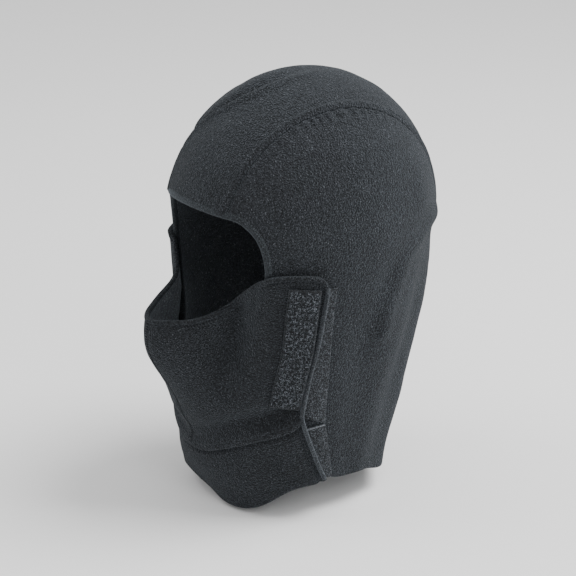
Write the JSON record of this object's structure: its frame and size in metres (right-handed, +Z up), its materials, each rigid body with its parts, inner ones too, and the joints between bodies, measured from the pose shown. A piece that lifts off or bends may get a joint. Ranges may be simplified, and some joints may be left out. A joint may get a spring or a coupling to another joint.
{
  "type": "balaclava",
  "caption": "Fleece balaclava with a hood, a tall face opening and a face mask that closes over both cheeks with hook-and-loop patches.",
  "frame": {"origin": "centre of the head cavity, at the level of the largest head girth", "axes": "+Z up along the head and neck, -Y the way the face looks, +X towards the wearer's left"},
  "size_m": [0.168, 0.2381, 0.3082],
  "materials": {
    "fleece": "matt pilled polyester fleece, dark charcoal",
    "binding": "folded knit binding, dark charcoal",
    "loop_tape": "soft loop side of hook-and-loop tape, charcoal",
    "hook_tape": "stiff hook side of hook-and-loop tape, black",
    "thread": "black polyester sewing thread",
    "label_tape": "blank woven ribbon, light grey"
  },
  "bodies": {
    "hood": {"crown_panel": "fleece", "side_panel_left": "fleece", "side_panel_right": "fleece", "face_opening_binding": "binding", "crown_seam_thread_left": "thread", "crown_seam_thread_right": "thread", "cheek_loop_patch_left": "loop_tape", "cheek_loop_patch_right": "loop_tape", "neck_loop_patch_left": "loop_tape", "neck_loop_patch_right": "loop_tape", "care_label": "label_tape"},
    "mask_right_end": {"mask_end_right": "fleece", "neck_end_right": "fleece", "mask_edge_hem_right": "fleece", "cheek_hook_patch_right": "hook_tape", "neck_hook_patch_right": "hook_tape", "cheek_patch_thread_right": "thread", "neck_patch_thread_right": "thread"},
    "mask": {"mask_panel_left": "fleece", "mask_panel_right": "fleece", "neck_panel": "fleece", "mask_edge_hem_left": "fleece", "cheek_hook_patch_left": "hook_tape", "neck_hook_patch_left": "hook_tape", "outer_loop_patch": "loop_tape", "centre_seam_thread": "thread", "outer_patch_thread": "thread", "neck_patch_thread_left": "thread"}
  },
  "joints": [
    {"name": "mask_pull_off", "type": "slide", "parent": "hood", "child": "mask_right_end", "axis": [0, -1, 0], "range_m": [0, 0.2]},
    {"name": "mask_swing", "type": "hinge", "parent": "mask_right_end", "child": "mask", "pos_m": [-0.0665, -0.0675, -0.08], "axis": [0.0175, 0.0939, -0.9954], "range_deg": [0, 115]}
  ]
}
